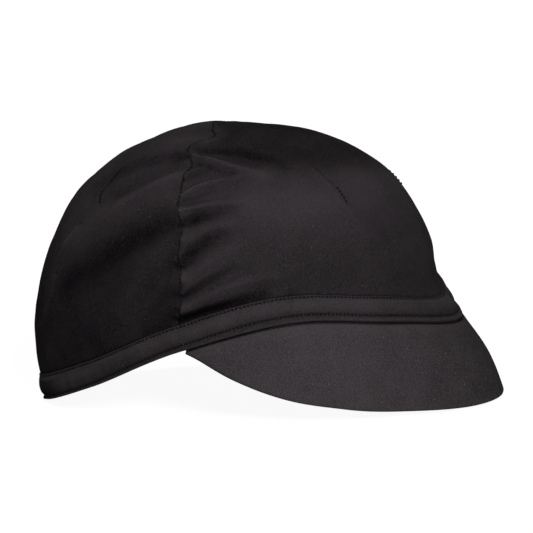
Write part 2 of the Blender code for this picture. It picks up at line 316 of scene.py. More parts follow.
def smooth_step(share):
    share = np.clip(share, 0.0, 1.0)
    return share * share * (3 - 2 * share)


def ramp(values, start, length):
    """0 up to the start, 1 from the start plus the length, and smooth between them."""
    return smooth_step((values - start) / length)


def bell(values, middle, width):
    """1 at the middle, fading out smoothly on both sides of it."""
    return np.exp(-((values - middle) / width)**2)


def unit(vectors):
    return vectors / np.linalg.norm(vectors, axis=-1, keepdims=True)


def from_front(angle):
    """Angle from the middle of the front, the shorter way round on either side."""
    return np.abs((angle + 180.0) % 360.0 - 180.0)


def hem_height(angle):
    """Height of the hem edge above its lowest point at the back."""
    return HEM_RISE * read_table(HEM_EDGE, "height", from_front(angle))


def tuck_in(angle, way):
    """How far the hem is tucked in towards the back."""
    away = from_front(angle - TUCK_ANGLE)
    return TUCK * (1 - ramp(way, 0, TUCK_TOP_WAY)) * bell(away, 0, TUCK_SPREAD)


def crown_base(angle, way):
    """Points of the crown's outer surface without its folds."""
    angle, way = np.broadcast_arrays(angle, way)
    across = np.sin(np.radians(angle))
    ahead = np.cos(np.radians(angle))
    in_front = ahead > 0
    reach = np.where(in_front, read_table(CROWN, "front_reach", way),
                     read_table(CROWN, "rear_reach", way))
    rise = np.where(in_front, read_table(CROWN, "front_rise", way),
                    read_table(CROWN, "rear_rise", way))
    side_rise = read_table(CROWN, "side_rise", way)
    hem = hem_height(angle)
    x = -0.5 * HEM_WIDTH * read_table(CROWN, "side_reach", way) * across
    y = POLE_LEAN * read_table(CROWN, "lean", way) - 0.5 * HEM_LENGTH * reach * ahead
    y = y - (PROW * smooth_step(1.0 - way / PROW_TOP_WAY)
             * read_table(PROW_SHAPE, "shift", from_front(angle)))
    y = y + tuck_in(angle, way)
    z = hem + (CROWN_HEIGHT - hem) * (rise * ahead**2 + side_rise * across**2)
    return np.stack((x, y, z), axis=-1)


def crown_normal(angle, way):
    """Outward direction of the crown's outer surface."""
    step_way = 0.005
    step_angle = 0.5
    way = np.minimum(way, NEAR_POLE)
    up = crown_base(angle, way + step_way) - crown_base(angle, way - step_way)
    round_cap = crown_base(angle + step_angle, way) - crown_base(angle - step_angle, way)
    return unit(np.cross(up, round_cap))


def crown_uphill(angle, way):
    """Direction up the crown's surface."""
    step_way = 0.004
    way = np.minimum(way, NEAR_POLE)
    return unit(crown_base(angle, way + step_way) - crown_base(angle, way - step_way))


def nearest_on_path(points, path):
    """Distance to a path of straight runs, how far along it the nearest place is, the
    path's length, and the way from that place to the point."""
    nearest = np.full(points.shape[:-1], np.inf)
    place = np.zeros(points.shape[:-1])
    offset = np.zeros(points.shape)
    so_far = 0.0
    for start, end in zip(path[:-1], path[1:]):
        run = end - start
        length = np.linalg.norm(run)
        share = np.clip((points - start) @ run / (run @ run), 0.0, 1.0)
        away = points - (start + share[..., None] * run)
        distance = np.linalg.norm(away, axis=-1)
        closer = distance < nearest
        nearest = np.where(closer, distance, nearest)
        place = np.where(closer, so_far + share * length, place)
        offset = np.where(closer[..., None], away, offset)
        so_far += length
    return nearest, place, so_far, offset


def distance_to_path(points, path):
    return nearest_on_path(points, path)[0]


def seam_path(ways):
    """The seam over the crown, up its near side and down its far one."""
    return np.concatenate((crown_base(SEAM_ANGLE, ways), crown_base(-SEAM_ANGLE, ways[-2::-1])))


SEAM_PATH = seam_path(np.linspace(0.0, 1.0, 61))


def lengths_up(angle, ways):
    """Distance along the crown's surface from the first way to each of the ways."""
    runs = np.linalg.norm(np.diff(crown_base(angle, ways), axis=0), axis=1)
    return np.concatenate(([0.0], np.cumsum(runs)))


def way_up(angles, heights):
    """Ways at which the crown's surface lies the given heights above the hem edge."""
    return np.array([np.interp(height, lengths_up(angle, COARSE_WAYS), COARSE_WAYS)
                     for angle, height in np.broadcast(angles, heights)])


def height_up(angles, ways):
    """Heights above the hem edge, along the surface. Each angle has one way or a column."""
    return np.array([np.interp(ways_here, FINE_WAYS, lengths_up(angle, FINE_WAYS))
                     for angle, ways_here in zip(angles, ways.T)]).T


def round_hem(angles):
    """Distance round the hem from the middle of the front."""
    return np.radians(angles) * HEM_RADIUS


def fold_lift(points):
    """How far the folds move each point of the crown outward."""
    lift = np.zeros(points.shape[:-1])
    for fold in zip(*FOLDS.values()):
        start_angle, start_way, end_angle, end_way, width, depth = fold
        share = np.linspace(0.0, 1.0, FOLD_RUNS + 1)
        path = crown_base(start_angle + share * (end_angle - start_angle),
                          start_way + share * (end_way - start_way))
        across = distance_to_path(points, path) / (width * FOLD_WIDTH)
        lift -= depth * FOLD_DEPTH * np.exp(-2.0 * across**2)
    return lift


def stitch_hold(points):
    """Share of a fold that is left near the crown's seam and its band, which hold it flat."""
    seam = seam_path(np.linspace(0.0, 1.0, SEAM_RUNS + 1))
    round_cap = np.linspace(-180.0, 180.0, HEM_RUNS + 1)
    band_top_shadow = crown_base(round_cap, way_up(round_cap, BAND_HEIGHT))
    return (smooth_step(distance_to_path(points, seam) / STITCH_HOLD)
            * smooth_step(distance_to_path(points, band_top_shadow) / STITCH_HOLD))


def turn(vectors):
    """Vectors of the sewn cap, tilted as it rests."""
    turned = np.array(vectors, dtype=float)
    along, up = turned[..., 1].copy(), turned[..., 2].copy()
    turned[..., 1] = along * math.cos(LAID_TILT) - up * math.sin(LAID_TILT)
    turned[..., 2] = along * math.sin(LAID_TILT) + up * math.cos(LAID_TILT)
    return turned


def laid(points):
    """Points of the sewn cap, as they lie when it rests on the floor."""
    turned = turn(points) - LAID_ORIGIN
    turned[..., 2] = np.where(turned[..., 2] < REST_FLAT, 0.0, turned[..., 2])
    return turned


def curve_through(start_angle, start_way, mid_angle, mid_way, end_angle, end_way, runs):
    """Angles and ways on a smooth curve through three places."""
    share = np.linspace(0.0, 1.0, runs + 1)
    first = (1 - share) * (1 - 2 * share)
    middle = 4 * share * (1 - share)
    last = share * (2 * share - 1)
    return (first * start_angle + middle * mid_angle + last * end_angle,
            first * start_way + middle * mid_way + last * end_way)


def ripple(values, wavelength, seed):
    """A smooth random ripple along a line, between about -1 and 1."""
    waves = 7
    usual_peak = 2.6
    rng = np.random.default_rng(seed)
    total = np.zeros(np.shape(values))
    for stretch in rng.uniform(0.6, 1.9, waves):
        total += np.sin(2 * math.pi * values / (wavelength * stretch) + rng.uniform(0, 6.28))
    return total / usual_peak


def undulation(points, wavelength, seed):
    """A smooth random field in space, between about -1 and 1."""
    waves = 18
    rng = np.random.default_rng(seed)
    total = np.zeros(points.shape[:-1])
    for _ in range(waves):
        direction = rng.normal(size=3)
        direction /= np.linalg.norm(direction)
        reach = wavelength * rng.uniform(0.7, 1.6)
        total += np.sin(points @ direction * (2 * math.pi / reach) + rng.uniform(0, 6.28))
    return total / math.sqrt(waves)


def far_crease(places, depth, jitter):
    """A near crease's places and depth as they are on the far side."""
    places[0::2] = [-angle for angle in places[0::2]]
    places[1::2] = [way + FAR_WAY_SHIFT * jitter[0] for way in places[1::2]]
    places[MID_WAY] += FAR_BEND * jitter[1]
    depth *= FAR_DEPTH + FAR_DEPTH_SPREAD * jitter[2]
    if abs(places[0]) > FAR_REAR_ANGLE:
        depth *= FAR_REAR_DEPTH
    return places, depth


def crease_lift(points, uphill, side):
    """Creases on the near side, and others like them on the far side, with their painted light:
    painted shade where they face down and painted highlight where they face up.

    A crease starts narrow and deep at the seam, and widens and fades out along its path.
    """
    lift_fade = 0.75
    lift_reach = 1.6
    paint_fade = 0.55
    paint_reach = 0.95
    lift = np.zeros(points.shape[:-1])
    wear_and_painted_light = np.zeros(points.shape[:-1])
    rng = np.random.default_rng(CREASE_SEED)
    for mirrored in (False, True):
        for crease in zip(*CREASES.values()):
            *places, width, depth = crease
            jitter = rng.normal(size=3)
            if mirrored:
                places, depth = far_crease(places, depth, jitter)
            path = crown_base(*curve_through(*places, CREASE_RUNS))
            distance, place, length, offset = nearest_on_path(points, path)
            share = place / length
            spread = width * MM * (0.8 + 0.5 * share)
            height = np.sum(offset * uphill, axis=-1) / spread
            fade = (1 - lift_fade * share**2) * np.exp(-(distance / (lift_reach * spread))**4)
            lift += CREASE_STEEPNESS * depth * MM * fade * height * np.exp(-height**2)
            # Painted shade where the crease faces down and painted highlight where it faces up, on
            # the panel where it starts
            if (abs(places[0]) > SEAM_ANGLE) == (side == REAR):
                wear_and_painted_light -= depth * (1 - paint_fade * share**2) * bell(distance, 0, paint_reach * spread)
    return lift, wear_and_painted_light


def dart_paths():
    """Angles and ways along each dart, on both sides."""
    for dart in zip(*DARTS.values()):
        for mirrored in (1, -1):
            places = list(dart)
            places[0::2] = [mirrored * angle for angle in places[0::2]]
            yield curve_through(*places, DART_RUNS)


def dart_lift(points):
    """A sewn dart: a fine groove with painted shade along it, and a soft ridge beside it."""
    depth = 0.50 * MM
    groove_width = 0.7 * MM
    line_width = 0.5 * MM
    ridge_width = 1.9 * MM
    ridge_angle = 1.6
    front_groove_shade = 1.2
    rear_groove_shade = 2.6
    lift = np.zeros(points.shape[:-1])
    wear_and_painted_light = np.zeros(points.shape[:-1])
    for angles, ways in dart_paths():
        distance, place, length = nearest_on_path(points, crown_base(angles, ways))[:3]
        share = place / length
        fade = np.sin(math.pi * np.clip(0.12 + 0.8 * share, 0, 1))
        stitched = 1 - 0.7 * ramp(share, 0.55, 0.1)
        lift -= depth * fade * stitched * bell(distance, 0, groove_width)
        # Painted shade along the dart's groove, darker on the rear panel
        groove_shade = rear_groove_shade if abs(angles[0]) > SEAM_ANGLE else front_groove_shade
        wear_and_painted_light -= groove_shade * fade * bell(distance, 0, line_width)
        beside = distance_to_path(points, crown_base(angles + ridge_angle, ways))
        lift += depth * fade * bell(beside, 0, ridge_width)
    return lift, wear_and_painted_light


def row_height(row, angles):
    """Height of a stitch row above the hem edge, along the cloth."""
    return MM * read_table(row, "height", from_front(angles))


def band_top(angles):
    """Height of the band's top edge above the hem edge, along the cloth."""
    return row_height(UPPER_ROW, angles) + BAND_EDGE


def soft_relief(base, angles, above_band, off_the_seam, along_seam, side):
    """Unevenness of the cloth, and its puckers along the seam and above the band."""
    broad_height, broad_length, broad_seed = 0.35 * MM, 0.030, 3
    small_height, small_length, small_seed = 0.10 * MM, 0.010, 4
    seam_height, seam_length, seam_seed = 0.30 * MM, 0.008, 11
    band_height, band_length, band_seed = 0.14 * MM, 0.009, 15
    slant = 0.31
    lift = broad_height * undulation(base, broad_length, broad_seed) * ramp(above_band, 0, 0.010)
    lift += small_height * undulation(base, small_length, small_seed) * ramp(above_band, 0, 0.006)
    by_seam = bell(off_the_seam, 0, 7 * MM) * ramp(off_the_seam, 0, 2.5 * MM)
    slanted = along_seam + side * slant * off_the_seam
    lift += seam_height * ripple(slanted, seam_length, seam_seed + side) * by_seam
    by_band = np.exp(-np.abs(above_band) / (6 * MM)) * ramp(above_band, 0, 2.0 * MM)
    lift += band_height * ripple(round_hem(angles) + 0.2 * above_band, band_length,
                                 band_seed) * by_band
    return lift


def panel_painted_light(angles, ways, side):
    """Broad painted shade and painted highlight on a panel. The rear one is darker low down, and
    the front one is darker high up and low down, and paler across its middle.
    """
    if side == REAR:
        low_shade = 2.25
        return -low_shade * (1 - ramp(ways, 0.18, 0.42))
    # Painted shade at the front's top, its low part and its crown, and a painted highlight across
    # its middle
    top_shade = 2.0
    middle_highlight = 1.2
    low_shade = 1.0
    crown_shade = 0.3
    ahead = 1 - ramp(np.abs(angles), 50.0, 30.0)
    top_way = 0.48 - 0.06 * (1 - ramp(angles, 5.0, 30.0))
    return (ahead * (middle_highlight * bell(ways, 0.41, 0.09)
                     - top_shade * ramp(ways, top_way, 0.13)
                     - low_shade * (1 - ramp(ways, 0.12, 0.20)))
            - crown_shade * ramp(ways, 0.62, 0.16))


def seam_line(off_the_seam, dots, side):
    """Relief and painted shade at the seam. The front panel is raised there, with a stitched row.
    """
    if side == REAR:
        # Painted shade along the rear panel's edge in the seam
        return (-0.40 * MM * (1 - ramp(off_the_seam, 0, 0.9 * MM)),
                -1.0 * bell(off_the_seam, 0, 0.6 * MM))
    raised = 0.14 * MM * (1 - ramp(off_the_seam, 4.0 * MM, 3.0 * MM))
    row = bell(off_the_seam, SEAM_ROW, 0.5 * MM) * MM * (0.04 + 0.16 * dots)
    edge = 0.12 * MM * (1 - ramp(off_the_seam, 0, 0.4 * MM))
    # Painted shade along the stitched row, darker at its needle holes
    return raised - row - edge, -(1.1 + 2.4 * dots) * bell(off_the_seam, SEAM_ROW, 0.48 * MM)


def seam_shift(angles, ways, off_the_seam, side):
    """How far the cloth by the seam is moved towards the front."""
    under_front = 0.6 * MM
    shift = MM * np.where(np.sin(np.radians(angles)) > 0,
                          read_table(SEAM_WANDER, "near", ways),
                          read_table(SEAM_WANDER, "far", ways))
    shift = shift * bell(off_the_seam, 0, WANDER_REACH)
    if side == REAR:
        shift += under_front * (1 - ramp(off_the_seam, 0, 6 * MM))
    return shift


def panel_surface(angles, ways, heights, side):
    """A crown panel's outer surface, its normals, and its painted light and wear."""
    seam_paint_width = 1.4 * MM
    band_top_shadow = 1.8
    band_tuck = 0.35 * MM
    base = crown_base(angles, ways)
    normal = crown_normal(angles, ways)
    off_the_seam, along_seam = nearest_on_path(base, SEAM_PATH)[:2]
    above_band = heights - band_top(angles)
    dots = 0.5 + 0.5 * np.cos(2 * math.pi * along_seam / STITCH_PITCH)

    creases, wear_and_painted_light = crease_lift(base, crown_uphill(angles, ways), side)
    darts, dart_shade = dart_lift(base)
    lift = FOLD_SHARE * fold_lift(base) * stitch_hold(base)
    lift += (creases * ramp(off_the_seam, -0.25 * SEAM_SLACK, SEAM_SLACK)
             * ramp(above_band, 0, BAND_SLACK))
    lift += darts
    lift += soft_relief(base, angles, above_band, off_the_seam, along_seam, side)

    # Painted highlight and painted shade of the creases, faded out at the seam
    wear_and_painted_light *= (np.where(wear_and_painted_light > 0, CREASE_HIGHLIGHT, CREASE_SHADE)
             * ramp(off_the_seam, -0.5 * seam_paint_width, seam_paint_width))
    # Painted shade along the darts' grooves; raised cloth paler with wear, sunken cloth darker
    # with painted shade
    wear_and_painted_light += dart_shade + LIFT_WEAR_AND_SHADE * lift / MM
    # Painted shade along the seam
    seam_relief, seam_shade = seam_line(off_the_seam, dots, side)
    # Painted shade and painted highlight of the panel
    wear_and_painted_light += panel_painted_light(angles, ways, side) + seam_shade
    # Painted shadow on the crown along the band's top edge
    wear_and_painted_light -= band_top_shadow * bell(above_band, 0, 0.7 * MM)

    lift += seam_relief
    lift -= band_tuck * (1 - ramp(above_band, -0.2 * MM, 1.0 * MM))
    forward = np.array((0.0, -1.0, 0.0))
    ahead = forward - normal * (normal @ forward)[..., None]
    shift = seam_shift(angles, ways, off_the_seam, side)
    return base + lift[..., None] * normal + shift[..., None] * ahead, normal, wear_and_painted_light


def add_mesh(name, points, faces, material, wear_and_painted_light, uv=None):
    mesh = bpy.data.meshes.new(name)
    mesh.from_pydata(points, [], faces)
    mesh.validate()
    mesh.shade_smooth()
    # Per-point painted light and wear of the cloth, read by its material: painted shade and
    # painted highlight, with paler worn cloth where it stands out
    layer = mesh.attributes.new("wear_and_painted_light", "FLOAT", "POINT")
    layer.data.foreach_set("value", np.asarray(wear_and_painted_light, dtype=np.float32))
    if uv is not None:
        layer = mesh.uv_layers.new(name="cloth")
        corners = np.empty(len(mesh.loops), dtype=np.int32)
        mesh.loops.foreach_get("vertex_index", corners)
        layer.data.foreach_set("uv", np.asarray(uv, dtype=np.float32)[corners].ravel())
    mesh.materials.append(material)
    piece = bpy.data.objects.new(name, mesh)
    bpy.context.scene.collection.objects.link(piece)
    return piece


def panel_faces(grid, pole, inward):
    """Faces of a panel's side: a grid of numbered points that closes to a pole."""
    quads = np.stack((grid[:-1, :-1], grid[:-1, 1:], grid[1:, 1:], grid[1:, :-1]), axis=-1)
    faces = quads.reshape(-1, 4).tolist()
    last = grid[-1].tolist()
    faces += [[near, far, pole] for near, far in zip(last[:-1], last[1:])]
    return [face[::-1] for face in faces] if inward else faces


def rim_faces(outer_rim, inner_rim):
    """Faces between the rims of a panel's fine outer side and its plainer inner one."""
    faces = []
    for place, here in enumerate(inner_rim):
        after = inner_rim[(place + 1) % len(inner_rim)]
        corners = [outer_rim[(place * FINE + step) % len(outer_rim)] for step in range(FINE + 1)]
        faces += [(second, first, here) for first, second in zip(corners[:-1], corners[1:])]
        faces.append((corners[-1], here, after))
    return faces


def make_panel(name, middle, side, material):
    """A crown panel with a fine outer side and a plainer inner one, closed round its edge."""
    cloth_reach = 0.16
    points, wear_and_painted_light_parts, uvs, faces, rims = [], [], [], [], []
    start = 0
    for fine, wall in ((FINE, 0.0), (1, CROWN_WALL)):
        columns, rows = PANEL_COLUMNS * fine, PANEL_ROWS * fine
        across = np.linspace(-1.0, 1.0, columns + 1)
        angles = middle + SEAM_ANGLE * (0.4 * across + 0.6 * np.sin(0.5 * math.pi * across))
        lowest = way_up(angles, band_top(angles) - PANEL_OVERLAP)
        ways = lowest + np.linspace(0.0, 1.0, rows + 1)[:, None] * (1.0 - lowest)
        outer, normal, wear_and_painted_light = panel_surface(angles, ways, height_up(angles, ways), side)
        normal[-1] = normal[-1].mean(axis=0)
        outer[-1] = outer[-1].mean(axis=0)
        sheet = outer - wall * normal
        reach = (1.0 - ways) * cloth_reach
        uv = np.stack((reach * np.sin(np.radians(angles)), reach * np.cos(np.radians(angles))), -1)
        points += [sheet[:-1].reshape(-1, 3), sheet[-1:, 0]]
        uvs += [uv[:-1].reshape(-1, 2), uv[-1:, 0]]
        wear_and_painted_light_parts += [wear_and_painted_light[:-1].ravel(), wear_and_painted_light[-1:, 0]]
        pole = start + rows * (columns + 1)
        grid = np.arange(start, pole).reshape(rows, columns + 1)
        faces += panel_faces(grid, pole, wall > 0)
        rims.append([*grid[0].tolist(), *grid[1:, -1].tolist(), pole, *grid[:0:-1, 0].tolist()])
        start = pole + 1
    faces += rim_faces(*rims)
    return add_mesh(name, laid(np.concatenate(points)), faces, material,
                    np.concatenate(wear_and_painted_light_parts), np.concatenate(uvs))


def make_loop_piece(name, sections, material, wear_and_painted_light, uv):
    """A closed piece from a row of closed sections, capped at both ends."""
    count, around = sections.shape[:2]
    place = np.arange(count * around).reshape(count, around)
    nearer, further = place[:-1], place[1:]
    quads = np.stack((nearer, np.roll(nearer, -1, axis=1), np.roll(further, -1, axis=1), further),
                     axis=-1)
    faces = [tuple(quad) for quad in quads.reshape(-1, 4).tolist()]
    faces.append(tuple(place[0, ::-1].tolist()))
    faces.append(tuple(place[-1].tolist()))
    return add_mesh(name, laid(sections.reshape(-1, 3)), faces, material, wear_and_painted_light.ravel(),
                    uv.reshape(-1, 2))


def band_puff(heights, angles, along):
    """Profile of the folded band: a lip, a stitched channel, a soft roll and another channel."""
    channel_width = 0.75 * MM
    channel_depth = 0.34
    needle_depth = 0.35
    lip_height = 0.85
    lower = row_height(LOWER_ROW, angles)
    upper = row_height(UPPER_ROW, angles)
    needle = 0.5 - 0.5 * np.cos(2 * math.pi * along / STITCH_PITCH)
    channels = sum(bell(heights, row, channel_width) for row in (lower, upper))
    channels = channels * (channel_depth + needle_depth * needle)
    roll = 1.05 + 0.18 * ripple(along, 0.024, 23) + 0.03 * ripple(along, 0.007, 24)
    share = np.clip((heights - lower) / (upper - lower), 0.0, 1.0)
    body = roll * (0.45 + 0.95 * np.sin(math.pi * share**0.8))
    lip = lip_height * bell(heights, 0, 0.55 * lower)
    return MM * (body + lip - channels)


def band_shade(angles, along, side):
    """Paler and darker stretches of the band: painted shade towards its back, and a darker front
    middle. The rear one has a worn patch.
    """
    size = from_front(angles)
    shade = (-1.1 * ramp(size, 94.0, 20.0)
             - 2.0 * ramp(size, 132.0, 14.0)
             - 1.0 * (1 - ramp(size, 8.0, 40.0)))
    if side == REAR:
        patch = ramp(size, 114.0, 3.0) * (1 - ramp(size, 130.0, 8.0))
        shade = shade + patch * (1.6 + 0.5 * ripple(along, 0.006, 33))
    return shade


def make_band(name, side, material):
    """Half of the folded band, a ring of points for each of its angles."""
    low_end = 0.5 * MM
    high_end = BAND_HEIGHT - 0.3 * MM
    outer_heights = np.linspace(low_end, high_end, 40)
    inner_heights = np.linspace(high_end, low_end, 12)
    shaded = slice(6, 30)
    turns = np.linspace(0.0, math.pi, 6)[1:-1]
    first = -SEAM_ANGLE if side == FRONT else SEAM_ANGLE
    angles = np.linspace(first, first + 2 * SEAM_ANGLE, BAND_COLUMNS + 1)
    lengths = [lengths_up(angle, BAND_WAYS) for angle in angles]
    along = round_hem(angles)
    stretch = (band_top(angles) / BAND_HEIGHT)[:, None]

    def ring(heights, offsets):
        ways = np.array([np.interp(*places, BAND_WAYS) for places in zip(heights, lengths)])
        return (crown_base(angles[:, None], ways)
                + offsets[..., None] * crown_normal(angles[:, None], ways))

    def turned_edge(height, offset, overhang, sign):
        middle = 0.5 * (offset - BAND_WALL)[:, None]
        half = 0.5 * (offset + BAND_WALL)[:, None]
        heights = stretch * height + sign * overhang * np.sin(turns)
        return ring(heights, middle + sign * half * np.cos(turns)), heights[0]

    grid = stretch * outer_heights
    end_dip = 0.22 * MM * bell(from_front(angles), SEAM_ANGLE, 0.8 / 1.35)
    gathers = 0.07 * MM * ramp(from_front(angles), 128.0, 10.0) * ripple(along, 0.008, 31)
    swell = np.sin(math.pi * np.clip(grid / BAND_HEIGHT, 0, 1))
    lift = band_puff(grid, angles[:, None], along[:, None])
    lift = lift + gathers[:, None] * swell - end_dip[:, None]
    outer = ring(grid, lift)
    top, top_heights = turned_edge(outer_heights[-1], lift[:, -1], 0.55 * MM, 1)
    inner_grid = stretch * inner_heights
    inner = ring(inner_grid, np.full(inner_grid.shape, -BAND_WALL))
    low, low_heights = turned_edge(outer_heights[0], lift[:, 0], 0.5 * MM, -1)
    sections = np.concatenate((outer, top, inner, low), axis=1)

    heights = np.concatenate((outer_heights, top_heights, inner_heights, low_heights))
    uv = np.stack(np.broadcast_arrays(along[:, None], heights), axis=-1)
    wear_and_painted_light = np.zeros(sections.shape[:2])
    # Painted light on the band: paler on its upper half and darker on its lower half, darker in
    # its stitched channels and paler on its roll and lip
    upper_half_light = ramp(outer_heights / BAND_HEIGHT, 0.35, 0.4) - 0.5
    wear_and_painted_light[:, :len(outer_heights)] = lift / MM - 0.7 + 1.1 * upper_half_light
    wear_and_painted_light[:, shaded] += band_shade(angles, along, side)[:, None]
    return make_loop_piece(name, sections, material, wear_and_painted_light, uv)


def visor_surface(angles):
    """The visor's outer surface from its root to its edge, with its normals."""
    size = np.abs(angles)
    depth = VISOR_DEPTH * read_table(VISOR, "depth", size)
    depth = depth * (1.0 - np.exp(-((TAPER_END - size) / TAPER_SPREAD)**TAPER_POWER))
    root_slope = read_table(VISOR, "root_slope", size)
    edge_slope = read_table(VISOR, "edge_slope", size)
    outward = crown_normal(angles, LOW_WAY)
    outward[:, 2] = 0.0
    outward = unit(outward)
    hem = crown_base(angles, 0.0)
    up_band = unit(crown_base(angles, LOW_WAY) - hem)
    rows = [hem - ROOT_DROP * up_band]
    for step in range(VISOR_STEPS):
        share = (step + 0.5) / VISOR_STEPS
        slope = np.radians(root_slope + (edge_slope - root_slope) * share)
        direction = outward * np.cos(slope)[:, None]
        direction[:, 2] = -np.sin(slope)
        row = rows[-1] + (depth / VISOR_STEPS)[:, None] * direction
        row[:, 1] -= tuck_in(angles, 0.0) / VISOR_STEPS
        rows.append(row)
    outer = np.array(rows).transpose(1, 0, 2)
    normal = unit(np.cross(np.gradient(outer, axis=0), np.gradient(outer, axis=1)))
    if normal[len(angles) // 2, VISOR_STEPS // 2, 1] > 0:
        normal = -normal
    return outer, normal, up_band, depth


def make_visor(name, material):
    """The cloth-covered visor, a ring of points for each of its angles."""
    uneven = 0.12 * MM
    root_swell = 0.5 * MM
    root_dip = 1.1 * MM
    edge_dip = 0.45 * MM
    angles = VISOR_END * np.linspace(-1.0, 1.0, VISOR_COLUMNS + 1)
    outer, normal, up_band, depth = visor_surface(angles)
    down = depth[:, None] * np.linspace(0.0, 1.0, VISOR_STEPS + 1)
    from_edge = depth[:, None] - down
    lift = uneven * undulation(outer, 0.026, 41) * ramp(from_edge, 0, 0.006)
    lift += root_swell * (1 - ramp(down, 0, 8 * MM))
    lift -= root_dip * (1 - ramp(down, 0, 1.1 * MM))
    lift -= edge_dip * (1 - ramp(from_edge, 0, 0.8 * MM))
    face = outer + lift[..., None] * normal
    tucked = outer[:, :1] + 1.4 * MM * up_band[:, None] - 0.8 * MM * normal[:, :1]
    under = outer - VISOR_WALL * normal
    turns = np.linspace(0.0, math.pi, 7)[1:-1]
    past_edge = unit(outer[:, -1] - outer[:, -2])
    middle = 0.5 * (face[:, -1] + under[:, -1])
    half = 0.5 * np.linalg.norm(face[:, -1] - under[:, -1], axis=1)[:, None]
    roll = (middle[:, None] + (half * np.cos(turns))[..., None] * normal[:, -1:]
            + (0.5 * half * np.sin(turns))[..., None] * past_edge[:, None])
    back = slice(None, None, -3)
    sections = np.concatenate((tucked, face, roll, under[:, back]), axis=1)
    inside = np.full((len(angles), 1), -1.0 * MM)
    rolled = np.repeat(depth[:, None], len(turns), axis=1)
    v = np.concatenate((inside, down, rolled, down[:, back]), axis=1)
    uv = np.stack(np.broadcast_arrays(round_hem(angles)[:, None], v), axis=-1)
    wear_and_painted_light = np.zeros(sections.shape[:2])
    # Painted light on the visor: paler on its root's swell and darker in its dips, paler near its
    # rolled edge, and a painted shadow, nearly black, under the band's lip
    wear_and_painted_light[:, 1:VISOR_STEPS + 2] = (lift / MM + 0.6 * (1 - ramp(from_edge, 0, 1.6 * MM))
                                  - 4.0 * (1 - ramp(down, 0, 1.3 * MM)))
    # Painted light: the visor is paler towards the wearer's right and darker towards the left
    visor_side_light = 2.2 * ramp(angles, -15.0, 75.0) - 0.7 * ramp(angles, 58.0, 24.0) - 1.4
    wear_and_painted_light += visor_side_light[:, None]
    return make_loop_piece(name, sections[:, ::-1], material, wear_and_painted_light[:, ::-1], uv[:, ::-1])


def stitch_template():
    """One stitch: a short thread with round ends, along X."""
    around, along = 6, 6
    places = np.linspace(0.0, math.pi, along + 1)[1:-1]
    turns = np.linspace(0.0, 2 * math.pi, around, endpoint=False)
    points = [(-0.5, 0.0, 0.0)]
    for place in places:
        width = math.sin(place)**0.5
        x = -0.5 * math.cos(place)
        points += [(x, width * math.cos(a), width * math.sin(a)) for a in turns]
    points.append((0.5, 0.0, 0.0))
    faces = []
    rings = len(places)
    for k in range(around):
        after = (k + 1) % around
        faces.append((0, 1 + after, 1 + k))
        for ring in range(rings - 1):
            here = 1 + ring * around
            faces.append((here + k, here + after, here + around + after, here + around + k))
        last = 1 + (rings - 1) * around
        faces.append((last + k, last + after, 1 + rings * around))
    return np.array(points), faces


def along_row(at, places, values):
    """Vectors at a distance along a row of places."""
    return np.array([np.interp(at, places, values[:, axis]) for axis in range(3)])


def make_stitches(name, rows, material, bold=1.0):
    """Threads along rows of places, each row with its normals."""
    slant_spread = 0.09
    proud = 0.10 * bold**2 * MM
    shape, shape_faces = stitch_template()
    rng = np.random.default_rng(STITCH_SEED)
    points, faces, wear_and_painted_light_parts = [], [], []
    count = 0
    for path, normals in rows:
        steps = np.linalg.norm(np.diff(path, axis=0), axis=1)
        places = np.concatenate(([0.0], np.cumsum(steps)))
        for centre in np.arange(0.5 * STITCH_PITCH, places[-1], STITCH_PITCH):
            start = along_row(max(centre - 0.5 * STITCH_LENGTH, 0.0), places, path)
            end = along_row(min(centre + 0.5 * STITCH_LENGTH, places[-1]), places, path)
            normal = along_row(centre, places, normals)
            length = np.linalg.norm(end - start)
            ahead = (end - start) / length
            normal = unit(normal - ahead * (normal @ ahead))
            aside = np.cross(normal, ahead)
            slant = rng.normal(0.0, slant_spread)
            ahead, aside = ahead + slant * aside, aside - slant * ahead
            middle = 0.5 * (start + end) + proud * normal
            size = 0.5 * bold * STITCH_THICKNESS * rng.uniform(0.9, 1.1)
            points.append(middle + shape[:, :1] * length * ahead + shape[:, 1:2] * size * aside
                          + shape[:, 2:] * size * normal)
            faces += [tuple(index + count for index in face) for face in shape_faces]
            wear_and_painted_light_parts.append(np.full(len(shape), rng.uniform(-1.0, 1.0)))
            count += len(shape)
    return add_mesh(name, laid(np.concatenate(points)), faces, material, np.concatenate(wear_and_painted_light_parts))


def on_band(angles, ways, heights, sunk=0.0):
    """Places on the band's surface with their normals."""
    normal = crown_normal(angles, ways)
    lift = band_puff(heights, angles, round_hem(angles)) - sunk
    return crown_base(angles, ways) + lift[:, None] * normal, normal


def band_rows(row):
    """A stitch row of the band, in its front and its rear half."""
    rows = []
    for first in (-SEAM_ANGLE, SEAM_ANGLE):
        angles = np.linspace(first, first + 2 * SEAM_ANGLE, 700)
        heights = row_height(row, angles)
        rows.append(on_band(angles, way_up(angles, heights), heights))
    return rows


def tack_rows():
    """Rows of stitches that cross the band beside the side seams."""
    beside = 0.6
    wander = 0.25
    heights = np.linspace(1.2 * MM, BAND_HEIGHT - 1.0 * MM, 40)
    rows = []
    for angle in (SEAM_ANGLE - beside, -SEAM_ANGLE + beside):
        angles = angle + wander * np.sin(heights / MM * 1.7)
        rows.append(on_band(angles, way_up(angle, heights), heights, 0.1 * MM))
    return rows


def on_panel(angles, ways, side):
    """Places on a panel's surface with their normals."""
    return panel_surface(angles, ways, height_up(angles, ways), side)[:2]


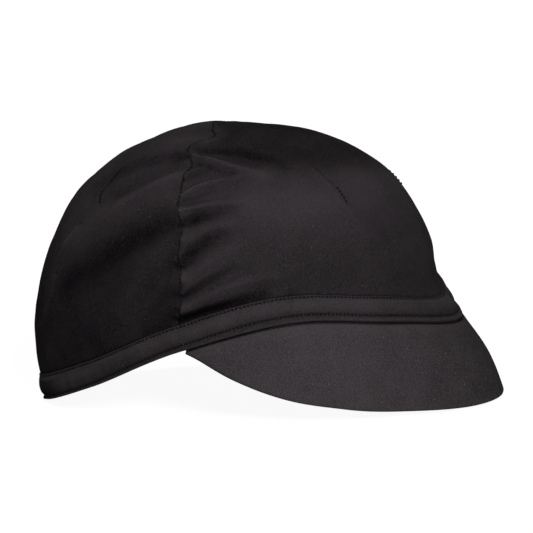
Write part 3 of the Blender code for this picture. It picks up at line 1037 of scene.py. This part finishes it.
def seam_rows():
    """The stitches beside the seam, over the crown from one band to the other."""
    measured = 10.0
    shortest = 1e-4
    closest = 50.0
    ways = np.linspace(0.09, 0.999, 240)
    apart = crown_base(SEAM_ANGLE, ways) - crown_base(SEAM_ANGLE - measured, ways)
    apart = np.maximum(np.linalg.norm(apart, axis=1), shortest)
    angles = SEAM_ANGLE - measured * SEAM_ROW / apart
    kept = angles > closest
    return [on_panel(sign * angles[kept], ways[kept], FRONT) for sign in (1, -1)]


def dart_rows():
    """The stitches at the lower end of each dart."""
    rows = []
    steps = np.linspace(0.66, 0.98, 30) * DART_RUNS
    for angles, ways in dart_paths():
        angles = np.interp(steps, np.arange(DART_RUNS + 1), angles)
        ways = np.interp(steps, np.arange(DART_RUNS + 1), ways)
        rows.append(on_panel(angles, ways, FRONT if abs(angles[0]) < SEAM_ANGLE else REAR))
    return rows


def set_inputs(node, values):
    """Gives a node's inputs their values, or links them to the outputs of other nodes."""
    for name, value in values.items():
        if isinstance(value, bpy.types.NodeSocket):
            node.id_data.links.new(value, node.inputs[name])
        else:
            node.inputs[name].default_value = value


def add_node(tree, kind, inputs, **settings):
    made = tree.nodes.new(kind)
    for key, value in settings.items():
        setattr(made, key, value)
    set_inputs(made, inputs)
    return made


def new_material(name):
    """A material with its node tree, its shader and the object's own places."""
    material = bpy.data.materials.new(name)
    material.use_nodes = True
    tree = material.node_tree
    place = tree.nodes.new("ShaderNodeTexCoord").outputs["Object"]
    return material, tree, tree.nodes["Principled BSDF"], place


def cloth_material(name, colour, light, grain=1.75):
    """Woven black cotton: thread weave, faded patches, painted shade and painted highlight on its
    folds with some wear, and specks of lint.
    """
    thread_pitch = 0.00042
    wave_units = 20
    thread_warp = 0.0007
    tone = 0.53
    lint_size = 0.053
    lint_strength = 0.30
    lint_colour = (0.16, 0.15, 0.155, 1.0)
    material, tree, shader, place = new_material(name)

    def math_node(operation, *values):
        inputs = dict(enumerate(values))
        return add_node(tree, "ShaderNodeMath", inputs, operation=operation).outputs[0]

    def noise(scale, detail, roughness=0.5):
        inputs = {"Scale": scale, "Detail": detail, "Roughness": roughness, "Vector": place}
        return add_node(tree, "ShaderNodeTexNoise", inputs).outputs["Fac"]

    def mix(factor, first, second):
        inputs = {"Factor": factor, "A": first, "B": second}
        return add_node(tree, "ShaderNodeMix", inputs, data_type="RGBA").outputs["Result"]

    uv = add_node(tree, "ShaderNodeUVMap", {}, uv_map="cloth").outputs["UV"]
    warp = math_node("MULTIPLY", noise(900.0, 2.0), thread_warp)
    threads = []
    for direction in ("X", "Y"):
        offset = add_node(tree, "ShaderNodeCombineXYZ", {direction: warp}).outputs[0]
        warped = add_node(tree, "ShaderNodeVectorMath", {0: uv, 1: offset}, operation="ADD")
        inputs = {"Scale": 2 * math.pi / (wave_units * thread_pitch), "Distortion": 0.0,
                  "Vector": warped.outputs[0]}
        wave = add_node(tree, "ShaderNodeTexWave", inputs, bands_direction=direction)
        threads.append(wave.outputs["Fac"])
    weave = math_node("MAXIMUM", *threads)
    slub = noise(1800.0, 3.0, 0.7)
    speck = noise(2600.0, 1.0)
    patch = noise(26.0, 3.0, 0.55)
    cloud = noise(95.0, 3.0, 0.6)
    # The mesh's painted shade, painted highlight and wear, which change the tone
    wear_and_painted_light = add_node(tree, "ShaderNodeAttribute", {}, attribute_name="wear_and_painted_light").outputs["Fac"]

    # Each pattern swings round its middle value, and changes the tone by its strength
    for pattern, middle, strength in ((patch, 0.5, 0.34), (cloud, 0.5, 0.238), (slub, 0.5, grain),
                                      (weave, 0.6, 0.25), (wear_and_painted_light, 0.0, 0.14)):
        swing = math_node("SUBTRACT", pattern, middle)
        tone = math_node("MULTIPLY_ADD", swing, strength, tone)
    shade = mix(tone, (*colour, 1.0), (*light, 1.0))

    inputs = {"Scale": 330.0, "Randomness": 1.0, "Vector": place}
    lint = add_node(tree, "ShaderNodeTexVoronoi", inputs).outputs["Distance"]
    near = math_node("LESS_THAN", lint, lint_size)
    sparse = math_node("GREATER_THAN", noise(70.0, 2.0), 0.44)
    fleck = math_node("MULTIPLY", math_node("MULTIPLY", near, sparse), lint_strength)

    height = math_node("MULTIPLY_ADD", weave, 0.45, math_node("MULTIPLY", slub, 0.9))
    height = math_node("MULTIPLY_ADD", speck, 0.35, height)
    inputs = {"Strength": 0.75, "Distance": 0.00016, "Height": height}
    set_inputs(shader, {
        "Base Color": mix(fleck, shade, lint_colour),
        "Roughness": math_node("MULTIPLY_ADD", cloud, 0.16, 0.84),
        "Specular IOR Level": 0.0,
        "Sheen Weight": 0.004,
        "Sheen Roughness": 0.45,
        "Sheen Tint": (0.62, 0.57, 0.6, 1.0),
        "Normal": add_node(tree, "ShaderNodeBump", inputs).outputs["Normal"],
    })
    return material


def thread_material(name, colour):
    """Twisted sewing thread with a little gloss."""
    dark_share = 0.6
    light_share = 1.5
    material, tree, shader, place = new_material(name)
    inputs = {"Scale": 3200.0, "Vector": place}
    twist = add_node(tree, "ShaderNodeTexNoise", inputs).outputs["Fac"]
    inputs = {"Factor": twist,
              "A": (*[channel * dark_share for channel in colour], 1.0),
              "B": (*[channel * light_share for channel in colour], 1.0)}
    tone = add_node(tree, "ShaderNodeMix", inputs, data_type="RGBA")
    inputs = {"Strength": 0.5, "Distance": 0.0001, "Height": twist}
    bump = add_node(tree, "ShaderNodeBump", inputs)
    set_inputs(shader, {
        "Base Color": tone.outputs["Result"],
        "Roughness": 0.75,
        "Specular IOR Level": 0.05,
        "Normal": bump.outputs["Normal"],
    })
    return material


crown_cloth = cloth_material("crown_cotton", (0.0012, 0.0010, 0.0012), (0.0158, 0.0137, 0.0151))
band_cloth = cloth_material("band_cotton", (0.0016, 0.0014, 0.0015), (0.0180, 0.0157, 0.0172))
# The visor's cotton is a paler copy of the crown's: painted light on the visor
visor_cloth = cloth_material("visor_cotton", (0.0024, 0.0021, 0.0023), (0.0236, 0.0207, 0.0226),
                             grain=1.6)
thread = thread_material("sewing_thread", (0.0012, 0.0011, 0.0012))
pale_thread = thread_material("worn_thread", (0.0140, 0.0127, 0.0136))

DRESSED = (
    ("crown_front_panel", "crown_cloth", make_panel("front_panel_cloth", 0.0, FRONT, crown_cloth)),
    ("crown_rear_panel", "crown_cloth", make_panel("rear_panel_cloth", 180.0, REAR, crown_cloth)),
    ("hem_band_front", "band_cloth", make_band("front_band_cloth", FRONT, band_cloth)),
    ("hem_band_rear", "band_cloth", make_band("rear_band_cloth", REAR, band_cloth)),
    ("visor", "visor_cloth", make_visor("visor_cloth", visor_cloth)),
)
SEWN = (
    ("band_cloth", make_stitches("band_stitches_upper", band_rows(UPPER_ROW), thread, BAND_BOLD)),
    ("band_cloth", make_stitches("band_stitches_lower", band_rows(LOWER_ROW), thread, BAND_BOLD)),
    ("crown_cloth", make_stitches("seam_stitches", seam_rows(), thread)),
    ("crown_cloth", make_stitches("dart_stitches", dart_rows(), thread, DART_BOLD)),
    ("band_cloth", make_stitches("band_end_stitches", tack_rows(), pale_thread)),
)
for node_name, slot, piece in DRESSED:
    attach(piece, "root")
    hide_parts(node_name)
for slot, piece in SEWN:
    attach(piece, "root")

# Floor: it glows and reflects little, so it is an even white with hardly a shadow
FLOOR_HALF = 6.0
floor_mesh = bpy.data.meshes.new("floor")
corners = [(x * FLOOR_HALF, y * FLOOR_HALF, 0.0) for x, y in ((-1, -1), (1, -1), (1, 1), (-1, 1))]
floor_mesh.from_pydata(corners, [], [(0, 1, 2, 3)])
floor = bpy.data.objects.new("floor", floor_mesh)
bpy.context.scene.collection.objects.link(floor)
floor_material = bpy.data.materials.new("floor_white")
floor_material.use_nodes = True
set_inputs(floor_material.node_tree.nodes["Principled BSDF"], {
    "Base Color": (0.05, 0.05, 0.05, 1.0),
    "Emission Color": (1.0, 1.0, 1.0, 1.0),
    "Emission Strength": 0.94,
    "Roughness": 0.9,
    "Specular IOR Level": 0.1,
})
floor_mesh.materials.append(floor_material)

# Light
scene = bpy.context.scene
world = bpy.data.worlds.new("studio")
scene.world = world
world.use_nodes = True
set_inputs(world.node_tree.nodes["Background"], {"Color": (1.0, 1.0, 1.0, 1.0), "Strength": 0.05})


def direction_to(azimuth, elevation):
    """Direction from the cap to a place round it. Azimuth 0 is in front of it."""
    return (math.sin(azimuth) * math.cos(elevation),
            -math.cos(azimuth) * math.cos(elevation),
            math.sin(elevation))


def sun_light(name, azimuth, elevation, spread, strength):
    """A sun from a direction, with its angles in degrees."""
    data = bpy.data.lights.new(name, "SUN")
    data.angle = math.radians(spread)
    data.energy = strength
    lamp = bpy.data.objects.new(name, data)
    scene.collection.objects.link(lamp)
    towards = Vector(direction_to(math.radians(azimuth), math.radians(elevation)))
    lamp.rotation_euler = (-towards).to_track_quat("-Z", "Y").to_euler()


sun_light("key", -50.0, 24.0, 12.0, 7.8)
sun_light("top", -160.0, 68.0, 20.0, 3.0)

# Camera: it is placed round the sewn cap, and laid down with it
VIEW_AZIMUTH = math.radians(-66.5)
VIEW_ELEVATION = math.radians(9.0)
VIEW_DISTANCE = 1.7
PHOTO_PIXELS = 533
PIXEL_SIZE = 0.000458
AIM_HEIGHT = 0.065
AIM_RIGHT = 0.0094
AIM_DOWN = 0.0016
SENSOR = 36.0
back_way = np.array(direction_to(VIEW_AZIMUTH, VIEW_ELEVATION))
right_way = np.array((math.cos(VIEW_AZIMUTH), math.sin(VIEW_AZIMUTH), 0.0))
up_way = np.cross(back_way, right_way)
aim = np.array((0.0, 0.0, AIM_HEIGHT)) + AIM_RIGHT * right_way - AIM_DOWN * up_way
eye = turn(aim + VIEW_DISTANCE * back_way) - LAID_ORIGIN
axes = [turn(axis) for axis in (right_way, up_way, back_way)]
lens = bpy.data.cameras.new("camera")
lens.sensor_width = SENSOR
lens.lens = SENSOR * VIEW_DISTANCE / (PHOTO_PIXELS * PIXEL_SIZE)
lens.clip_start = 0.05
camera = bpy.data.objects.new("camera", lens)
scene.collection.objects.link(camera)
placed = np.eye(4)
placed[:3] = np.stack((*axes, eye), axis=1)
camera.matrix_world = Matrix(placed.tolist())
scene.camera = camera
scene.view_settings.view_transform = "Standard"
